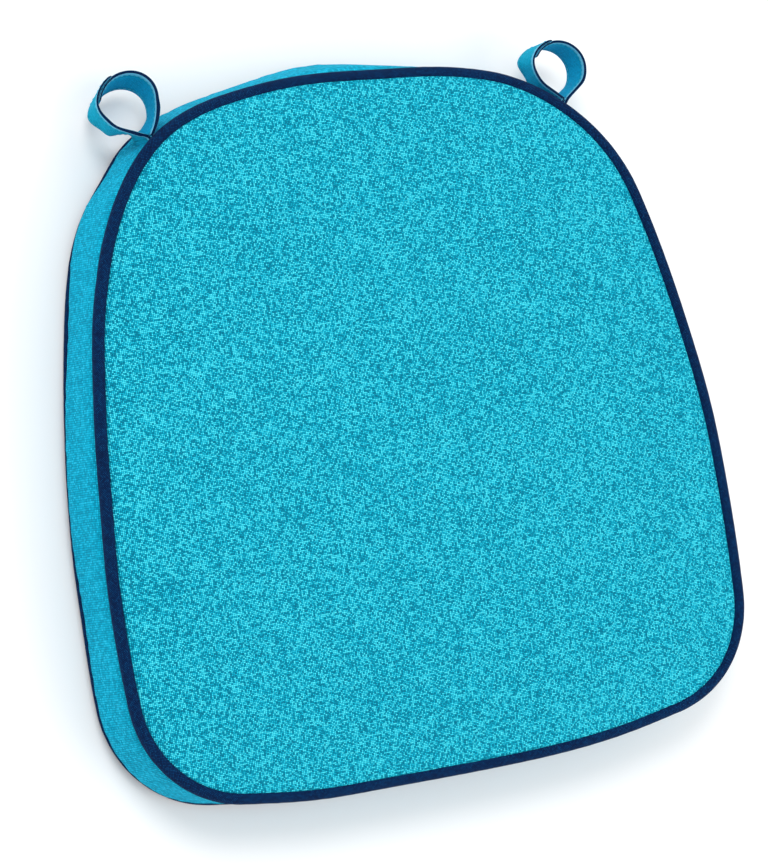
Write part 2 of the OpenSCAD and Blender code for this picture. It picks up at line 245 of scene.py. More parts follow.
# ---------------------------------------------------------------- materials
class Nodes:
    """Builds a material's node tree with short calls."""

    def __init__(self, name):
        self.material = bpy.data.materials.new(name)
        self.material.use_nodes = True
        self.tree = self.material.node_tree
        self.tree.nodes.clear()
        self.shader = self.add("ShaderNodeBsdfPrincipled")
        output = self.add("ShaderNodeOutputMaterial")
        self.tree.links.new(self.shader.outputs[0], output.inputs[0])

    def add(self, kind, **settings):
        node = self.tree.nodes.new(kind)
        for key, value in settings.items():
            setattr(node, key, value)
        return node

    def feed(self, socket, value):
        if isinstance(value, bpy.types.NodeSocket):
            self.tree.links.new(value, socket)
        else:
            socket.default_value = value

    def math(self, operation, a, b=0.0, c=0.0, clamp=False):
        node = self.add("ShaderNodeMath", operation=operation, use_clamp=clamp)
        for socket, value in zip(node.inputs, (a, b, c)):
            self.feed(socket, value)
        return node.outputs[0]

    def mix(self, factor, a, b):
        node = self.add("ShaderNodeMix", data_type="FLOAT")
        for socket, value in zip((node.inputs[0], node.inputs[2], node.inputs[3]),
                                 (factor, a, b)):
            self.feed(socket, value)
        return node.outputs[0]

    def mix_colour(self, factor, a, b, blend="MIX"):
        node = self.add("ShaderNodeMix", data_type="RGBA", blend_type=blend)
        for socket, value in zip((node.inputs[0], node.inputs[6], node.inputs[7]),
                                 (factor, a, b)):
            self.feed(socket, value)
        return node.outputs[2]

    def noise(self, where, scale, detail=2.0, roughness=0.5):
        node = self.add("ShaderNodeTexNoise")
        self.feed(node.inputs["Vector"], where)
        node.inputs["Scale"].default_value = scale
        node.inputs["Detail"].default_value = detail
        node.inputs["Roughness"].default_value = roughness
        return node.outputs["Fac"]

    def random(self, x, y, z=0.0):
        where = self.add("ShaderNodeCombineXYZ")
        for socket, value in zip(where.inputs, (x, y, z)):
            self.feed(socket, value)
        node = self.add("ShaderNodeTexWhiteNoise", noise_dimensions="3D")
        self.feed(node.inputs["Vector"], where.outputs[0])
        return node.outputs["Value"]

    def ramp(self, factor, stops):
        node = self.add("ShaderNodeValToRGB")
        self.feed(node.inputs[0], factor)
        elements = node.color_ramp.elements
        while len(elements) < len(stops):
            elements.new(0.5)
        for element, (position, colour) in zip(elements, stops):
            element.position = position
            element.color = (*colour, 1)
        return node.outputs[0]

    def bump(self, height, distance, strength=1.0):
        node = self.add("ShaderNodeBump")
        node.inputs["Strength"].default_value = strength
        node.inputs["Distance"].default_value = distance
        self.feed(node.inputs["Height"], height)
        self.tree.links.new(node.outputs[0], self.shader.inputs["Normal"])

    def set(self, **values):
        for key, value in values.items():
            self.feed(self.shader.inputs[key.replace("_", " ")], value)

    def cloth_place(self, turn=0.0):
        """Place on the cloth in metres, from the UVs, turned by an angle."""
        node = self.add("ShaderNodeUVMap", uv_map="Cloth")
        mapping = self.add("ShaderNodeMapping")
        mapping.inputs["Rotation"].default_value = (0, 0, turn)
        self.tree.links.new(node.outputs[0], mapping.inputs[0])
        return mapping.outputs[0]

    def object_place(self):
        return self.add("ShaderNodeTexCoord").outputs["Object"]


def srgb(r, g, b):
    """A linear colour from 0-255 screen values."""
    return tuple((v / 255) ** 2.2 for v in (r, g, b))


def weave(n, where, pitch_u, pitch_v, wobble, floats):
    """Plain weave with some skipped crossings: height, and a tone per crossing and per thread."""
    drift = n.noise(where, 90, 2)
    split = n.add("ShaderNodeSeparateXYZ")
    n.feed(split.inputs[0], where)
    shift = n.math("MULTIPLY", n.math("SUBTRACT", drift, 0.5), wobble)
    u = n.math("ADD", n.math("DIVIDE", split.outputs[0], pitch_u), shift)
    v = n.math("ADD", n.math("DIVIDE", split.outputs[1], pitch_v), shift)
    column = n.math("FLOOR", u)
    row = n.math("FLOOR", v)
    across = n.math("SINE", n.math("MULTIPLY", n.math("FRACT", u), math.pi))
    along = n.math("SINE", n.math("MULTIPLY", n.math("FRACT", v), math.pi))
    crossing = n.random(column, row)
    skip = n.math("GREATER_THAN", n.random(row, column, 5.0), 1 - floats)
    over = n.math("FLOORED_MODULO", n.math("ADD", n.math("ADD", column, row), skip), 2.0)
    warp = n.math("MULTIPLY", n.math("POWER", across, 0.55),
                  n.math("MULTIPLY_ADD", along, 0.62, 0.38))
    weft = n.math("MULTIPLY", n.math("POWER", along, 0.55),
                  n.math("MULTIPLY_ADD", across, 0.62, 0.38))
    height = n.mix(over, weft, warp)
    thread = n.mix(over, n.random(row, 7.0), n.random(column, 31.0))
    return height, crossing, thread


def woven(name, stops, pitch, turn=0.0, use_uv=True, relief=0.5, contrast=1.0, sheen=0.12,
          slub=0.5, fleck=0.3, floats=0.0):
    """A woven cloth. stops are the dark, low, middle, high and fleck colours."""
    n = Nodes(name)
    where = n.cloth_place(turn) if use_uv else n.object_place()
    pitch_u, pitch_v = pitch
    height, crossing, thread = weave(n, where, pitch_u, pitch_v, 0.55, floats)
    fibre = n.noise(where, 2600, 3, 0.6)
    cloud = n.noise(where, 14, 3, 0.55)
    # Painted highlight and shade: the tone follows the weave's height, lighter on the thread crowns and darker in
    # the dips between threads. The crossing, thread, fibre and cloud terms below are the yarn's own uneven colour.
    tone = n.math("MULTIPLY_ADD", height, 0.72 * contrast, 0.5 - 0.5 * contrast)
    tone = n.math("MULTIPLY_ADD", n.math("SUBTRACT", crossing, 0.5), fleck * contrast, tone)
    tone = n.math("MULTIPLY_ADD", n.math("SUBTRACT", thread, 0.5), 0.22 * slub, tone)
    tone = n.math("MULTIPLY_ADD", n.math("SUBTRACT", fibre, 0.5), 0.25 * contrast, tone)
    tone = n.math("MULTIPLY_ADD", n.math("SUBTRACT", cloud, 0.5), 0.16, tone)
    colour = n.ramp(tone, list(zip((0.05, 0.3, 0.52, 0.74, 0.97), stops)))
    n.set(Base_Color=colour, Roughness=0.86, Sheen_Weight=sheen, Sheen_Roughness=0.45,
          Specular_IOR_Level=0.1)
    n.shader.inputs["Sheen Tint"].default_value = (*stops[3], 1)
    lift = n.math("MULTIPLY_ADD", fibre, 0.18, n.math("MULTIPLY_ADD", thread, 0.16, height))
    n.bump(lift, relief * MM)
    return n.material


def plain(name, colour, second, roughness, scale=400, relief=0.05, metallic=0.0, stretch=None):
    """A material with fine mottling in colour and relief, for small parts."""
    n = Nodes(name)
    where = n.object_place()
    if stretch:
        mapping = n.add("ShaderNodeMapping")
        mapping.inputs["Scale"].default_value = stretch
        n.feed(mapping.inputs[0], where)
        where = mapping.outputs[0]
    grain = n.noise(where, scale, 4, 0.6)
    n.set(Base_Color=n.mix_colour(grain, (*colour, 1), (*second, 1)), Metallic=metallic)
    n.set(Roughness=n.math("MULTIPLY_ADD", grain, 0.22, roughness - 0.11))
    n.bump(grain, relief * MM)
    return n.material


def foam_material():
    """Open-cell foam: round pits over a warm pale body, with painted shade at the pit centres."""
    n = Nodes("foam")
    where = n.object_place()
    cells = n.add("ShaderNodeTexVoronoi")
    cells.inputs["Scale"].default_value = 700
    n.feed(cells.inputs["Vector"], where)
    tint = n.noise(where, 30, 3)
    pits = n.math("MULTIPLY_ADD", cells.outputs["Distance"], 1.2, n.math("MULTIPLY", tint, 0.4))
    # Painted shade: the colour is darker at the pit centres, where the bump is lowest.
    n.set(Base_Color=n.ramp(pits, [(0.1, srgb(196, 178, 122)), (0.7, srgb(240, 228, 182))]),
          Roughness=0.95)
    n.bump(pits, 0.4 * MM)
    return n.material


TEAL = [srgb(0, 124, 154), srgb(0, 158, 190), srgb(10, 188, 220), srgb(38, 216, 248),
        srgb(84, 240, 255)]
SIDE_TEAL = [srgb(0, 120, 154), srgb(0, 150, 184), srgb(6, 171, 209), srgb(28, 193, 229),
             srgb(76, 218, 246)]
NAVY = [srgb(0, 16, 44), srgb(0, 30, 64), srgb(0, 44, 84), srgb(4, 62, 106),
        srgb(32, 96, 140)]
FACE_CLOTH = woven("face_cloth", TEAL, (1.05 * MM, 0.95 * MM), contrast=1.5, fleck=0.75,
                   floats=0.3, slub=0.3, relief=0.6)
SIDE_CLOTH = woven("side_cloth", SIDE_TEAL, (1.25 * MM, 1.25 * MM), relief=0.35, contrast=0.85,
                   fleck=0.5)
PIPING_CLOTH = woven("piping_cloth", NAVY, (0.9 * MM, 0.9 * MM), turn=math.radians(45),
                     relief=0.3, contrast=0.9, sheen=0.05)
TAB_CLOTH = woven("tab_cloth", SIDE_TEAL, (0.95 * MM, 0.95 * MM), relief=0.3, contrast=0.65)
TAPE_CLOTH = woven("zip_tape_cloth", [srgb(2, 74, 100), srgb(4, 100, 128), srgb(8, 120, 150),
                                      srgb(20, 140, 168), srgb(50, 168, 196)],
                   (0.5 * MM, 1.0 * MM), use_uv=False, relief=0.15, contrast=0.7)
# Painted highlight: a paler strip on the fold beside each upper edge groove, where the light from above catches
# it.
FOLD_HIGHLIGHT = woven("tab_fold_painted_highlight", [srgb(50, 160, 205), srgb(80, 182, 222), srgb(110, 200, 236),
                                     srgb(140, 216, 245), srgb(175, 236, 255)],
                  (0.7 * MM, 0.7 * MM), relief=0.15, contrast=0.5)
# Painted shade: a darker, bluer copy of the tab cloth for the side of each tab that faces the post.
INNER_SHADE = woven("tab_inner_painted_shade", [srgb(0, 122, 164), srgb(0, 148, 194), srgb(2, 168, 214),
                                        srgb(20, 186, 230), srgb(64, 212, 246)],
                    (0.95 * MM, 0.95 * MM), relief=0.3, contrast=0.75)
# Painted shade: dark navy put in the grooves along the tabs' edges, where the gap between the two folded layers
# lies in shade.
GROOVE_SHADE = woven("tab_groove_painted_shade", NAVY, (0.7 * MM, 0.7 * MM), relief=0.2, contrast=0.7)
THREAD = plain("sewing_thread", srgb(60, 200, 224), srgb(22, 160, 190), 0.6, 2500, 0.05)
HOOK = plain("hook_tape", srgb(8, 34, 62), srgb(22, 62, 100), 0.7, 1800, 0.5)
LOOP = plain("loop_tape", srgb(10, 40, 70), srgb(40, 84, 120), 0.95, 900, 0.5)
NYLON = plain("zip_nylon", srgb(6, 96, 122), srgb(16, 124, 150), 0.35, 900, 0.03)
METAL = plain("zip_zinc", (0.56, 0.57, 0.59), (0.72, 0.73, 0.75), 0.3, 700, 0.02, 1.0,
              (1, 1, 14))
CORD = plain("cotton_cord", srgb(226, 220, 205), srgb(250, 247, 238), 0.95, 900, 0.3)
WADDING = plain("polyester_wadding", srgb(232, 232, 228), srgb(252, 252, 250), 1.0, 260, 1.2)
FOAM = foam_material()


# ---------------------------------------------------------------- cover: rings and simulation
RINGS, OUTS, LENGTHS = stations(COLUMNS)
SEAM_IN = PIPING_R + 0.05 * MM
SEAM_RING = RINGS - SEAM_IN * OUTS
LOW_SHIFT = stations(COLUMNS, True)[0] - RINGS
LOW_SEAM_RING = SEAM_RING + LOW_SHIFT
HALF_DEPTH = SEAM_RING[0, 1]


def top_insets():
    """Distances of the top panel's rows from the seam, close together beside the piping."""
    edge = [-0.35, 0.1, 0.6, 1.3, 2.3, 3.6, 5.2, 7.2, 9.6, 12.4, 15.8, 19.6, 24]
    inner = list(np.arange(28, 193, 4.0))
    return np.array(edge + inner) * MM


TOP_INSETS = top_insets()


def top_row(inset):
    """A row of the top panel before it is filled."""
    share = 1 - inset / HALF_DEPTH
    rise = 2.9 * MM * (1 - math.exp(-max(inset, 0) / (3.6 * MM))) + 1.2 * MM * (1 - share ** 2)
    row = np.empty((COLUMNS, 3))
    row[:, :2] = SEAM_RING * share
    row[:, 2] = HIGH_Z + 0.2 * MM + rise
    return row


# The filling: pressure, frames, and how far a point of the top and of the side may move
PRESSURE = 4
FRAMES = 20
TOP_SWELL = 4.6 * MM
SIDE_SWELL = 2.4 * MM

# (outward, below the upper seam) of the gusset's rows. It sags to a low belly over the piping.
GUSSET_ROWS = [(-3.45, 0.6), (-3.2, 1.8), (-2.4, 2.9), (-1.2, 3.6), (0.1, 4.1), (1.3, 5.0),
               (2.2, 6.5), (2.8, 9.0), (3.2, 12.0), (3.5, 15.0), (3.8, 18.0), (4.1, 21.0),
               (4.4, 24.0), (4.8, 27.0), (5.1, 30.0), (5.3, 32.5), (5.25, 34.6), (4.7, 36.4),
               (3.6, 37.5), (2.2, 38.0), (0.6, 38.2), (-1.2, 38.5), (-2.6, 39.3), (-3.45, 41.4)]


def seam_pull(lengths):
    """1 at the upright seams where the loops are sewn in, falling to 0 beside them."""
    pull = np.zeros_like(lengths)
    for turn in (LEFT_PLACE, RIGHT_PLACE):
        pull = np.maximum(pull, np.exp(-(length_gap(lengths, turn) / (9 * MM)) ** 2))
    return pull


# (length clockwise from the rear centre, half width, change) of the belly's uneven fullness
FULLER = [(-8, 40, 1.1), (-157, 15, -0.4), (-250, 32, -0.2), (-405, 30, -0.2),
          (-545, 26, -0.5)]


def fullness(lengths):
    """How far the gusset's belly hangs out: most down the left side, least at the right."""
    side = length_gap(lengths, 0.0)
    rear = 1 / (1 + np.exp((side + 20 * MM) / (16 * MM)))
    front = 1 / (1 + np.exp((side + HALF_LENGTH - 60 * MM) / (-18 * MM)))
    full = 0.76 + 0.28 * rear * front
    for centre, half, change in FULLER:
        full = full + change * np.exp(-((side - centre * MM) / (half * MM)) ** 2)
    return full


def gusset_row(out, below):
    """A row of the gusset before it is filled, drawn in at the upright seams."""
    upper = 1 / (1 + math.exp((below - 29) / 2.2))
    held = 1 - 0.6 * upper * seam_pull(LENGTHS) if out > 0 else np.ones(COLUMNS)
    held = held * fullness(LENGTHS) if out > 0 else held
    stray = np.array([unevenness(length) for length in LENGTHS])
    push = out * MM * held - 0.8 * min(max(out / 3, 0), 1) * stray
    row = np.empty((COLUMNS, 3))
    row[:, :2] = RINGS + push[:, None] * OUTS + min(max((below - 33) / 5, 0), 1) * LOW_SHIFT
    row[:, 2] = HIGH_Z - below * MM
    return row


def filled_cover():
    """The whole cover swollen by cloth simulation, held along its seams. Returns its rows."""
    top = [top_row(inset) for inset in TOP_INSETS]
    side = [gusset_row(out, below) for out, below in GUSSET_ROWS]
    base = [np.column_stack([LOW_SEAM_RING * share, np.full(COLUMNS, LOW_Z)])
            for share in (0.8, 0.5, 0.2)]
    rows = top[::-1] + side + base
    points = np.concatenate(rows)
    count = len(rows)
    faces = grid_faces(count, COLUMNS, True)[0]
    top_centre, low_centre = len(points), len(points) + 1
    centre_z = top[-1][0, 2] + 0.02 * MM
    points = np.vstack([points, [[0, 0, centre_z], [0, 0, LOW_Z]]])
    last = (count - 1) * COLUMNS
    for c in range(COLUMNS):
        after = (c + 1) % COLUMNS
        faces.append([top_centre, after, c])
        faces.append([low_centre, last + c, last + after])
    swollen = swell(points, faces, len(top), len(side))
    moved = swollen - points
    far = np.linalg.norm(moved, axis=1)
    limit = np.full(len(points), TOP_SWELL)
    limit[len(top) * COLUMNS:(len(top) + len(side)) * COLUMNS] = SIDE_SWELL
    shrink = np.where(far > 0, limit * np.tanh(far / limit) / np.maximum(far, 1e-9), 0)
    swollen = points + moved * shrink[:, None]
    grid = swollen[:count * COLUMNS].reshape(count, COLUMNS, 3)
    top_rows = grid[:len(top)][::-1]
    side_rows = grid[len(top):len(top) + len(side)]
    return top_rows, side_rows, swollen[top_centre]


def swell(points, faces, top_count, side_count):
    """Runs Blender's cloth with pressure and returns the moved points."""
    cover = add_mesh("filling", points, faces)
    held = list(range((top_count - 1) * COLUMNS, (top_count + 1) * COLUMNS))
    held += list(range((top_count + side_count - 1) * COLUMNS, len(points)))
    held.remove(len(points) - 2)
    group = cover.vertex_groups.new(name="seams")
    group.add(held, 1.0, "REPLACE")
    cloth = cover.modifiers.new("cloth", "CLOTH")
    cloth.settings.vertex_group_mass = "seams"
    cloth.settings.use_pressure = True
    cloth.settings.uniform_pressure_force = PRESSURE
    cloth.settings.effector_weights.gravity = 0
    cloth.settings.quality = 5
    cloth.point_cache.frame_start = 1
    cloth.point_cache.frame_end = FRAMES
    scene = bpy.context.scene
    for number in range(1, FRAMES + 1):
        scene.frame_set(number)
    shaped = cover.evaluated_get(bpy.context.evaluated_depsgraph_get())
    moved = np.empty(len(points) * 3, dtype=np.float32)
    shaped.data.vertices.foreach_get("co", moved)
    bpy.data.objects.remove(cover, do_unlink=True)
    scene.frame_set(1)
    return moved.reshape(-1, 3).astype(float)


def ripple(lengths, phase):
    """Uneven gathers along a seam, from -1 to 1."""
    waves = [(11.3, 1.0), (7.9, 0.7), (17.0, 0.8), (5.7, 0.35)]
    total = sum(size * np.sin(2 * math.pi * lengths / (wave * MM) + phase * (k + 1.7))
                for k, (wave, size) in enumerate(waves))
    return total / sum(size for wave, size in waves)


TOP, SIDE, CROWN = filled_cover()


def puckered_top():
    """The top panel's rows with small gathers beside the piping."""
    rows = TOP.copy()
    across = OUTS[:, 1] ** 2
    for k, inset in enumerate(TOP_INSETS / MM):
        overhang = 2.4 * MM * math.exp(-((inset - 1.5) / 1.8) ** 2) * across
        rows[k, :, :2] += overhang[:, None] * OUTS
        rise = 1 - math.exp(-(inset + 0.6) / 0.9)
        roll = (2 + 0.8 * across) * rise * math.exp(-max(inset, 0) / 40)
        gather = 0.42 * math.exp(-abs(inset) / 7) * min(1, max(inset, 0) / 1.5)
        rows[k, :, 2] += (roll + gather * ripple(LENGTHS, 0.4)) * MM
    return rows


def make_top():
    """The top panel, from its gathered seam in to the crown."""
    rows = puckered_top()
    count = len(rows)
    faces = grid_faces(count, COLUMNS, True)[0]
    points = np.vstack([rows.reshape(-1, 3), CROWN[None, :]])
    last = (count - 1) * COLUMNS
    for c in range(COLUMNS):
        faces.append([last + c, last + (c + 1) % COLUMNS, count * COLUMNS])
    faces = [face[::-1] for face in faces]
    uvs = [points[i][:2] for face in faces for i in face]
    piece = shell(add_mesh("seat_top_panel", points, faces, uvs))
    place(piece, "pad", "cover_face", FACE_CLOTH, "top_panel")


def puckered_side():
    """The gusset's rows with gathers at both seams and a crease at the loops' seams."""
    rows = SIDE.copy()
    crease = np.zeros(COLUMNS)
    for turn in (LEFT_PLACE, RIGHT_PLACE):
        crease = np.maximum(crease, np.exp(-(length_gap(LENGTHS, turn) / (1.6 * MM)) ** 2))
    for k, (out, below) in enumerate(GUSSET_ROWS):
        near = min(below, 42 - below)
        gather = 0.4 * MM * math.exp(-((near - 7) / 5) ** 2)
        phase = 1.1 if below < 21 else 2.3
        push = gather * ripple(LENGTHS, phase) - (1.1 * MM * crease if out > 0 else 0)
        rows[k, :, :2] += push[:, None] * OUTS
    return rows


def make_gusset(name, first, last, rows, node):
    """The gusset between two columns, clockwise."""
    picked = [c % COLUMNS for c in range(first, last + 1)]
    points = rows[:, picked, :]
    run = np.arange(len(picked)) * 2 * HALF_LENGTH / COLUMNS
    drop = np.concatenate([[0], np.cumsum(np.linalg.norm(
        np.diff(np.array(GUSSET_ROWS), axis=0), axis=1))]) * MM
    faces, cells = grid_faces(len(rows), len(picked), False)
    uvs = [(run[c], -drop[r]) for cell in cells for r, c in cell]
    piece = shell(add_mesh(name, points.reshape(-1, 3), faces, uvs))
    place(piece, "pad", "cover_side", SIDE_CLOTH, node)


def column_at(turn):
    """The column of the cover nearest a heading on the outline."""
    return int(round(length_at(turn) / (2 * HALF_LENGTH) * COLUMNS))


make_top()
side_rows = puckered_side()
RIGHT_COLUMN = column_at(RIGHT_PLACE)
LEFT_COLUMN = column_at(LEFT_PLACE)
make_gusset("seat_front_gusset", RIGHT_COLUMN, LEFT_COLUMN, side_rows, "front_gusset")
make_gusset("seat_rear_gusset", LEFT_COLUMN, RIGHT_COLUMN + COLUMNS, side_rows, "rear_gusset")


# ---------------------------------------------------------------- filling
def ring_loft(name, levels):
    """A closed block from (distance in from the outline, height) levels, bottom to top."""
    columns = COLUMNS // 2
    rings, outs = stations(columns)[:2]
    points = np.concatenate([np.column_stack([rings - inset * outs, np.full(columns, z)])
                             for inset, z in levels])
    faces = [face[::-1] for face in grid_faces(len(levels), columns, True)[0]]
    for ring, flip in ((0, False), (len(levels) - 1, True)):
        start = ring * columns
        middle = len(points)
        points = np.vstack([points, [[0, 0, levels[ring][1]]]])
        for c in range(columns):
            face = [start + c, start + (c + 1) % columns, middle]
            faces.append(face[::-1] if flip else face)
    return add_mesh(name, points, faces)


def round_edges(inset, low, high, radius, steps=5):
    """Levels of a block with rounded upper and lower edges."""
    turns = [math.pi / 2 * k / steps for k in range(steps + 1)]
    lower = [(inset + radius * (1 - math.sin(t)), low + radius * (1 - math.cos(t)))
             for t in turns]
    upper = [(inset + radius * (1 - math.cos(t)), high - radius * (1 - math.sin(t)))
             for t in turns]
    return lower + upper


foam = ring_loft("seat_foam", round_edges(1.5 * MM, 7.2 * MM, 43.4 * MM, 5 * MM))
place(foam, "pad", "foam", FOAM, "foam_core")
wadding_levels = [(16 * MM, 43.6 * MM), (14.2 * MM, 44.4 * MM), (14.4 * MM, 45.4 * MM),
                  (17 * MM, 46.4 * MM), (24 * MM, 47.4 * MM), (40 * MM, 48.6 * MM),
                  (60 * MM, 49.4 * MM)]
wadding = ring_loft("seat_wadding", wadding_levels)
place(wadding, "pad", "wadding", WADDING, "wadding")


# ---------------------------------------------------------------- piping
def piping_profile():
    """Round sleeve with a flat flange of two layers running in to the seam allowance."""
    spread = math.asin(0.75 / 3.5)
    ring = []
    for k in range(19):
        turn = math.pi - spread - (2 * math.pi - 2 * spread) * k / 18
        ring.append((PIPING_R * math.cos(turn), PIPING_R * math.sin(turn)))
    return [(-11 * MM, 0.6 * MM)] + ring + [(-11 * MM, -0.6 * MM)]


def make_piping(name, z, node, phase):
    """A piping sleeve and its flange, all the way round the upper or lower seam."""
    count = 2 * COLUMNS
    points, outs, lengths = stations(count, z == LOW_Z)
    lump = 1 + 0.018 * ripple(lengths, phase)
    path = np.column_stack([points, np.full(count, z)])
    sides = np.column_stack([outs * lump[:, None], np.zeros(count)])
    ups = np.column_stack([np.zeros((count, 2)), np.ones(count)])
    profile = piping_profile()
    piece = sweep(name, path, sides, ups, profile[::-1], True)
    return place(piece, "pad", "piping", PIPING_CLOTH, node)


def make_cord(name, z, node):
    """The soft cotton cord inside a piping sleeve, with three twisted strands."""
    count = 2 * COLUMNS
    points, outs = stations(count, z == LOW_Z)[:2]
    path = np.column_stack([points, np.full(count, z)])
    twist = 2 * math.pi * np.round(2 * HALF_LENGTH / (9 * MM)) * np.arange(count) / count
    across = np.column_stack([outs, np.zeros(count)])
    upright = np.tile((0.0, 0.0, 1.0), (count, 1))
    cos, sin = np.cos(twist)[:, None], np.sin(twist)[:, None]
    profile = []
    for k in range(12):
        turn = 2 * math.pi * k / 12
        radius = CORD_R * (0.94 + 0.06 * math.cos(3 * turn))
        profile.append((radius * math.cos(turn), radius * math.sin(turn)))
    piece = sweep(name, path, cos * across + sin * upright, cos * upright - sin * across,
                  profile, True)
    return place(piece, "pad", "cord", CORD, node)


make_piping("upper_piping", HIGH_Z, "upper_piping_cover", 0.9)
make_piping("lower_piping", LOW_Z, "lower_piping_cover", 2.2)
make_cord("upper_cord", HIGH_Z, "upper_piping_cord")
make_cord("lower_cord", LOW_Z, "lower_piping_cord")


# ---------------------------------------------------------------- underside
HEM_IN = 5.6 * MM
HEM_OUT = 10 * MM
VALLEY = 16 * MM
HEM_Z = 4.4 * MM


def underside_z(inset, across):
    """Height of the underside at a distance in from the seam and from the zip."""
    edge = 2.3 * MM * math.exp(-inset / (3 * MM))
    slope = min(max((VALLEY - abs(across)) / (VALLEY - HEM_OUT), 0), 1)
    ease = min(max((inset - 4 * MM) / (12 * MM), 0), 1)
    return 0.25 * MM + edge + HEM_Z * ease * slope * slope * (3 - 2 * slope)


def make_underside(name, side, node):
    """Columns across the pad, from the zip out to the front or rear seam."""
    count = 150
    zip_edge = ZIP_Y + side * HEM_IN
    half_width = float(LOW_SEAM_RING[:, 0].max())
    dense = np.linspace(-math.pi / 2, math.pi / 2, count)
    rows = 72
    ring_x, ring_y = LOW_SEAM_RING[:, 0], LOW_SEAM_RING[:, 1]
    widest = float(ring_y[ring_x.argmax()])
    behind = ring_y >= widest
    order = np.argsort(ring_x[behind])
    rear = (ring_x[behind][order], ring_y[behind][order])
    order = np.argsort(ring_x[~behind])
    front = (ring_x[~behind][order], ring_y[~behind][order])
    if side > 0:
        half_width = float(np.interp(zip_edge, rear[1][:len(rear[1]) // 2],
                                     np.abs(rear[0][:len(rear[0]) // 2])))
    points = []
    for angle in dense:
        x = half_width * 0.9995 * math.sin(angle)
        y_rear = float(np.interp(x, *rear))
        y_front = float(np.interp(x, *front))
        near = min(zip_edge, y_rear) if side < 0 else zip_edge
        far = y_front if side < 0 else max(y_rear, zip_edge)
        for k in range(rows):
            part = (1 - math.cos(math.pi * k / (rows - 1))) / 2
            y = near + (far - near) * part
            inset = seam_distance(x, y)
            points.append((x, y, underside_z(inset, y - ZIP_Y)))
    faces = grid_faces(count, rows, False)[0]
    if side < 0:
        faces = [face[::-1] for face in faces]
    uvs = [points[i][:2] for face in faces for i in face]
    piece = shell(add_mesh(name, points, faces, uvs))
    place(piece, "pad", "cover_face", FACE_CLOTH, node)


def seam_distance(x, y):
    """Distance from a point inside to the seam."""
    gap = LOW_SEAM_RING - np.array([x, y])
    return float(np.sqrt((gap ** 2).sum(axis=1)).min())


make_underside("seat_underside_front", -1, "bottom_panel_front")
make_underside("seat_underside_rear", 1, "bottom_panel_rear")


# ---------------------------------------------------------------- zip
COIL_IN = 0.35 * MM
COIL_OUT = 2.5 * MM
TOOTH = 1.5 * MM
STITCH_STOP = 14 * MM


def make_coil(name, side, node):
    """One row of zip teeth: a flattened spiral of nylon along the tape's edge."""
    low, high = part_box(node)
    turns = int((high[0] - low[0]) / TOOTH)
    steps = 10
    wire = 0.36 * MM
    middle_y = ZIP_Y + side * (COIL_IN + COIL_OUT) / 2
    middle_z = (low[2] + high[2]) / 2
    half_y = (COIL_OUT - COIL_IN) / 2 - wire
    half_z = 0.8 * MM - wire
    start = low[0] + (0 if side > 0 else TOOTH / 2)
    path = []
    for k in range(turns * steps + 1):
        turn = 2 * math.pi * k / steps
        lean = 0.28 * TOOTH * math.sin(turn)
        path.append((start + TOOTH * k / steps * 0.995 + lean,
                     middle_y - side * half_y * math.cos(turn),
                     middle_z + half_z * math.sin(turn)))
    path = np.array(path)
    along = np.gradient(path, axis=0)
    along /= np.linalg.norm(along, axis=1)[:, None]
    sides = np.cross(along, (1.0, 0.2, 0.1))
    sides /= np.linalg.norm(sides, axis=1)[:, None]
    ups = np.cross(along, sides)
    profile = [(wire * math.cos(a), wire * math.sin(a))
               for a in (2 * math.pi * k / 6 for k in range(6))]
    piece = sweep(name, path, sides, ups, profile, False)
    return place(piece, "pad", "zip_coil", NYLON, node)


make_coil("zip_teeth_front", -1, "zip_coil_front")
make_coil("zip_teeth_rear", 1, "zip_coil_rear")


def stitch(centre, along, up, length, radius):
    """Points and faces of one stitch: a short thread that dips into the cloth at both ends."""
    along = np.array(along) / np.linalg.norm(along)
    up = np.array(up) / np.linalg.norm(up)
    side = np.cross(along, up)
    points, faces = [], []
    steps, sides = 5, 6
    for k in range(steps + 1):
        t = k / steps * 2 - 1
        rise = radius * (0.9 - 2.2 * t ** 4)
        size = radius * (1 - 0.45 * t ** 4)
        middle = np.array(centre) + along * t * length / 2 + up * rise
        for j in range(sides):
            a = 2 * math.pi * j / sides
            points.append(middle + size * (math.cos(a) * side + math.sin(a) * up))
    for k in range(steps):
        for j in range(sides):
            a, b = k * sides + j, k * sides + (j + 1) % sides
            faces.append([a + sides, b + sides, b, a])
    faces.append(list(range(sides)))
    faces.append([steps * sides + j for j in range(sides)][::-1])
    return points, faces


def make_stitches(name, seats, body, slot, length=2.4 * MM, radius=0.22 * MM, bend=None):
    """One object of stitches. Each seat is (centre, along, up)."""
    points, faces = [], []
    for centre, along, up in seats:
        new_points, new_faces = stitch(centre, along, up, length, radius)
        faces += [[i + len(points) for i in face] for face in new_faces]
        points += new_points
    return place(add_mesh(name, points, faces), body, slot, THREAD, bend=bend)


def zip_stitches():
    """Two rows of stitches that hold the hems to the zip tapes."""
    seats = []
    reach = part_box("zip_tape_front")[1][0] - STITCH_STOP
    for side in (-1, 1):
        for row in (7.4 * MM, 9.2 * MM):
            y = ZIP_Y + side * row
            for x in np.arange(-reach, reach, 3.3 * MM):
                seats.append(((x, y, 0.25 * MM + HEM_Z - 0.05 * MM), (1, 0, 0), (0, 0, -1)))
    return make_stitches("zip_stitches", seats, "pad", "cover_face")


zip_stitches()


def finish_node(node, material, bevel=0.0):
    """A CAD node that stays gets its material and, if asked, softened edges."""
    piece = frame["nodes"][node]
    piece.data.materials.clear()
    piece.data.materials.append(material)
    if bevel:
        modifier = piece.modifiers.new("soft_edges", "BEVEL")
        modifier.width = bevel
        modifier.segments = 2
        modifier.limit_method = "ANGLE"


